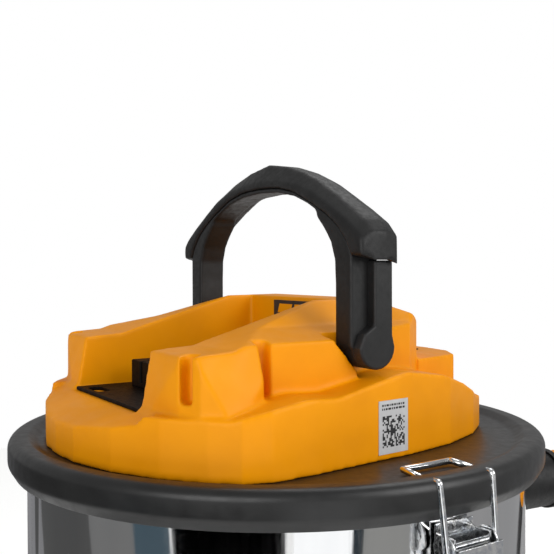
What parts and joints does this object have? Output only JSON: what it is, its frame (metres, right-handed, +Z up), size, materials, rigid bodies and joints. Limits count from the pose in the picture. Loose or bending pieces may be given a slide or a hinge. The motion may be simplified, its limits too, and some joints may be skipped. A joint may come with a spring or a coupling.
{
  "type": "shop vacuum",
  "caption": "Battery shop vacuum: steel drum, clamped sheet-metal lid, moulded motor head with a battery bay, folding carry handle, side inlet with a floor hose and nozzle.",
  "frame": {"origin": "on the drum's axis at floor level", "axes": "+Z up, the battery bay opens towards -Y, the handle's legs stand at +X and -X"},
  "size_m": [0.5094, 0.7077, 0.423],
  "materials": {
    "steel": "mirror-polished stainless sheet",
    "steel_base": "brushed",
    "rubber": "matt",
    "zinc": "zinc plated",
    "black_plastic": "fine texture",
    "yellow_plastic": "satin, fine moulded texture",
    "hose": "ribbed, satin",
    "pipe": "drawn tube",
    "lid_paint": "fine-texture black powder coat",
    "chrome": "bright plated",
    "copper": "bright",
    "badge": null,
    "label": null,
    "rocker": "satin",
    "handle_plastic": "grained",
    "impeller": "satin",
    "shaft_steel": "ground",
    "board": "solder mask",
    "spacer": "satin",
    "paper": "pleated",
    "filter_rings": "satin",
    "filter_mesh": "perforated"
  },
  "bodies": {
    "root": {"drum_shell": "steel", "drum_bottom": "steel_base", "rubber_feet": "rubber", "lid_gasket": "rubber", "foot_screws": "zinc", "inlet_rivets": "zinc", "latch_rivets_a": "zinc", "latch_rivets_b": "zinc", "blower_screws": "zinc", "filter_stud": "zinc", "filter_wing_nut": "zinc", "handle_pivots": "zinc", "inlet_port": "black_plastic", "inlet_deflector": "black_plastic", "bay_floor_plate": "black_plastic", "terminal_block": "black_plastic", "switch_body": "black_plastic", "blower_housing": "black_plastic", "intake_spider": "black_plastic", "nozzle_cuff": "black_plastic", "head_housing": "yellow_plastic", "hose_cuff": "yellow_plastic", "suction_hose": "hose", "nozzle_tube": "pipe", "lid_pan": "lid_paint", "latch_bracket_a": "chrome", "latch_bracket_b": "chrome", "latch_pin_a": "chrome", "latch_pin_b": "chrome", "terminal_contacts": "copper", "bay_badge": "badge", "info_label": "label", "motor_bearings": "shaft_steel", "motor_can": "shaft_steel", "control_board": "board", "board_spacers": "spacer", "filter_pleats": "paper", "filter_top_ring": "filter_rings", "filter_cap": "filter_rings", "filter_core": "filter_mesh"},
    "handle": {"handle_arch": "handle_plastic", "handle_cap": "handle_plastic", "handle_strips": "handle_plastic"},
    "lever_a": {"latch_lever_a": "chrome"},
    "bail_a": {"latch_bail_a": "chrome"},
    "lever_b": {"latch_lever_b": "chrome"},
    "bail_b": {"latch_bail_b": "chrome"},
    "rotor": {"impeller": "impeller", "motor_shaft": "shaft_steel", "motor_armature": "copper"},
    "rocker": {"switch_rocker": "rocker"}
  },
  "joints": [
    {"name": "handle_fold", "type": "hinge", "parent": "root", "child": "handle", "pos_m": [0, 0.001, 0.324], "axis": [-1, 0, 0], "range_deg": [0, 80]},
    {"name": "latch_a_lever", "type": "hinge", "parent": "root", "child": "lever_a", "pos_m": [0.14841, 0.00518, 0.242], "axis": [0.0349, -0.9994, 0], "range_deg": [0, 100]},
    {"name": "latch_a_bail", "type": "hinge", "parent": "lever_a", "child": "bail_a", "pos_m": [0.15241, 0.00532, 0.232], "axis": [0.0349, -0.9994, 0], "range_deg": [-135, 0]},
    {"name": "latch_b_lever", "type": "hinge", "parent": "root", "child": "lever_b", "pos_m": [-0.14841, -0.00518, 0.242], "axis": [-0.0349, 0.9994, 0], "range_deg": [0, 100]},
    {"name": "latch_b_bail", "type": "hinge", "parent": "lever_b", "child": "bail_b", "pos_m": [-0.15241, -0.00532, 0.232], "axis": [-0.0349, 0.9994, 0], "range_deg": [-135, 0]},
    {"name": "rotor_spin", "type": "hinge", "parent": "root", "child": "rotor", "pos_m": [0, 0.04, 0.28], "axis": [0, 0, 1], "continuous": true},
    {"name": "switch_rock", "type": "hinge", "parent": "root", "child": "rocker", "pos_m": [0, 0.092, 0.309], "axis": [1, 0, 0], "range_deg": [0, 16]}
  ],
  "couplings": [
    {"joint": "latch_a_bail", "follows": "latch_a_lever", "ratio": -1.35},
    {"joint": "latch_b_bail", "follows": "latch_b_lever", "ratio": -1.35}
  ]
}
